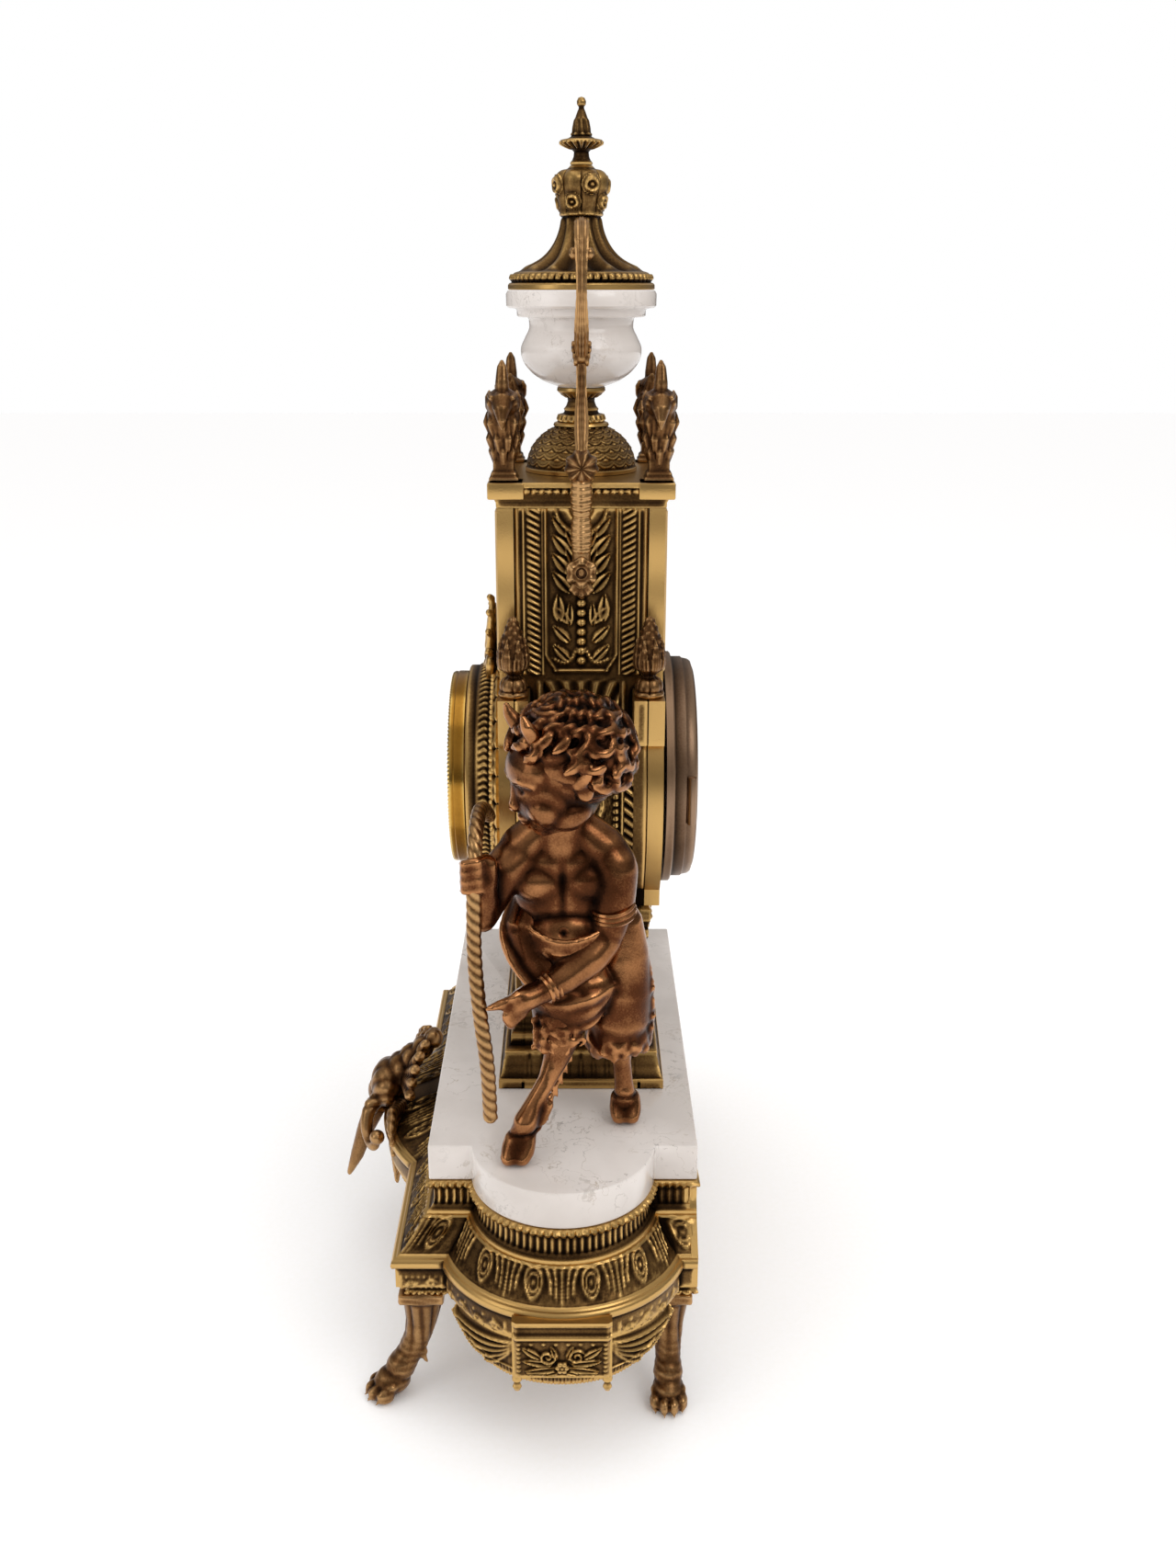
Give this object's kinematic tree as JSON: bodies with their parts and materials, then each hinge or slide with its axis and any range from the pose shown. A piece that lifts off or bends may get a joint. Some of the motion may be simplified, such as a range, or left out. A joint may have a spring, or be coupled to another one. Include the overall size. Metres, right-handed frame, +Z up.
{
  "type": "mantel clock",
  "caption": "Brass and marble mantel clock on paw feet, with a domed tower, marble urn, round bezel and a faun holding a rope on either side.",
  "frame": {"origin": "middle of the clock's footprint at the level of the paw soles", "axes": "+Z up, -Y towards the dial's front, +X towards the clock's right as seen from the front"},
  "size_m": [0.3714, 0.1914, 0.6],
  "materials": {
    "gilt_brass": "cast, antiqued and rubbed on the high spots",
    "polished_brass": "turned and polished",
    "patinated_bronze": "brown patina, burnished",
    "marble": "polished white marble with faint veins",
    "enamel": "fired white enamel",
    "steel": "drawn and filed",
    "blackened_metal": "blackened, satin",
    "glass": "clear, domed"
  },
  "bodies": {
    "root": {"base_casting": "gilt_brass", "foot_front_right": "gilt_brass", "foot_front_left": "gilt_brass", "foot_back_right": "gilt_brass", "foot_back_left": "gilt_brass", "front_casting": "gilt_brass", "back_casting": "gilt_brass", "side_panel_right": "gilt_brass", "side_panel_left": "gilt_brass", "top_plate": "gilt_brass", "griffin_front_right": "gilt_brass", "griffin_front_left": "gilt_brass", "griffin_back_right": "gilt_brass", "griffin_back_left": "gilt_brass", "dial_ring": "gilt_brass", "back_collar": "gilt_brass", "dome": "gilt_brass", "urn_stem": "gilt_brass", "urn_lid": "gilt_brass", "urn_finial": "gilt_brass", "urn_handle_right": "gilt_brass", "urn_handle_left": "gilt_brass", "front_ornament": "gilt_brass", "movement_front_plate": "polished_brass", "movement_back_plate": "polished_brass", "bell": "polished_brass", "front_trophy": "patinated_bronze", "bud_front_right": "patinated_bronze", "bud_front_left": "patinated_bronze", "bud_back_right": "patinated_bronze", "bud_back_left": "patinated_bronze", "faun_right": "patinated_bronze", "faun_left": "patinated_bronze", "rope_right": "patinated_bronze", "rope_left": "patinated_bronze", "marble_slab": "marble", "marble_bowl": "marble", "dial": "enamel", "bezel_hinge_pin": "steel", "back_hinge_pin": "steel", "urn_tie_rod": "steel", "tower_bolt_right": "steel", "tower_bolt_left": "steel"},
    "bezel": {"bezel": "polished_brass", "bezel_glass": "glass"},
    "back_door": {"back_door": "blackened_metal"},
    "centre": {"centre_arbor": "polished_brass", "minute_hand": "blackened_metal"},
    "hour": {"hour_hand": "blackened_metal"},
    "motion_wheel": {"minute_wheel": "polished_brass"},
    "third": {"third_wheel": "polished_brass"},
    "escape": {"escape_wheel": "polished_brass"},
    "balance": {"balance_wheel": "polished_brass"},
    "time_barrel": {"time_barrel": "polished_brass"},
    "strike_barrel": {"strike_barrel": "polished_brass"},
    "strike_wheel": {"strike_wheel": "polished_brass"},
    "fly": {"fly": "polished_brass"},
    "time_winding": {"time_winding_arbor": "steel"},
    "strike_winding": {"strike_winding_arbor": "steel"},
    "hammer": {"hammer": "steel"}
  },
  "joints": [
    {"name": "bezel_swing", "type": "hinge", "parent": "root", "child": "bezel", "pos_m": [-0.0557, -0.01795, 0.2827], "axis": [0, 0, -1], "range_deg": [0, 110]},
    {"name": "back_door_swing", "type": "hinge", "parent": "root", "child": "back_door", "pos_m": [0.0558, 0.09225, 0.2827], "axis": [0, 0, -1], "range_deg": [0, 110]},
    {"name": "minute_turn", "type": "hinge", "parent": "root", "child": "centre", "pos_m": [0, 0.00875, 0.2827], "axis": [0, 1, 0], "continuous": true},
    {"name": "hour_turn", "type": "hinge", "parent": "root", "child": "hour", "pos_m": [0, 0.00475, 0.2827], "axis": [0, 1, 0], "continuous": true},
    {"name": "motion_wheel_turn", "type": "hinge", "parent": "root", "child": "motion_wheel", "pos_m": [0, 0.00675, 0.2971], "axis": [0, 1, 0], "continuous": true},
    {"name": "time_barrel_turn", "type": "hinge", "parent": "root", "child": "time_barrel", "pos_m": [0.01685, 0.01875, 0.27636], "axis": [0, 1, 0], "continuous": true},
    {"name": "third_wheel_turn", "type": "hinge", "parent": "root", "child": "third", "pos_m": [0, 0.02075, 0.3007], "axis": [0, 1, 0], "continuous": true},
    {"name": "escape_wheel_turn", "type": "hinge", "parent": "root", "child": "escape", "pos_m": [0.01691, 0.02675, 0.30687], "axis": [0, 1, 0], "continuous": true},
    {"name": "balance_swing", "type": "hinge", "parent": "root", "child": "balance", "pos_m": [0.03, 0.02875, 0.2967], "axis": [0, 1, 0], "range_deg": [-150, 150], "stiffness_Nm_per_rad": 0.00007},
    {"name": "strike_barrel_turn", "type": "hinge", "parent": "root", "child": "strike_barrel", "pos_m": [-0.01919, 0.01875, 0.27548], "axis": [0, 1, 0], "continuous": true},
    {"name": "strike_wheel_turn", "type": "hinge", "parent": "root", "child": "strike_wheel", "pos_m": [-0.02231, 0.01875, 0.29321], "axis": [0, 1, 0], "continuous": true},
    {"name": "fly_turn", "type": "hinge", "parent": "root", "child": "fly", "pos_m": [-0.02032, 0.02375, 0.30474], "axis": [0, 1, 0], "continuous": true},
    {"name": "time_winding", "type": "hinge", "parent": "root", "child": "time_winding", "pos_m": [0.01685, 0.01875, 0.27636], "axis": [0, 1, 0], "continuous": true},
    {"name": "strike_winding", "type": "hinge", "parent": "root", "child": "strike_winding", "pos_m": [-0.01919, 0.01875, 0.27548], "axis": [0, 1, 0], "continuous": true},
    {"name": "hammer_lift", "type": "hinge", "parent": "root", "child": "hammer", "pos_m": [-0.036, 0.03875, 0.2867], "axis": [0, -1, 0], "range_deg": [0, 30], "stiffness_Nm_per_rad": 0.002, "springref_deg": -11.46}
  ],
  "couplings": [
    {"joint": "hour_turn", "follows": "minute_turn", "ratio": 0.083333},
    {"joint": "motion_wheel_turn", "follows": "minute_turn", "ratio": -0.33333},
    {"joint": "time_barrel_turn", "follows": "minute_turn", "ratio": -0.25},
    {"joint": "third_wheel_turn", "follows": "minute_turn", "ratio": -4},
    {"joint": "escape_wheel_turn", "follows": "minute_turn", "ratio": 16},
    {"joint": "strike_wheel_turn", "follows": "strike_barrel_turn", "ratio": -4},
    {"joint": "fly_turn", "follows": "strike_barrel_turn", "ratio": 9}
  ]
}
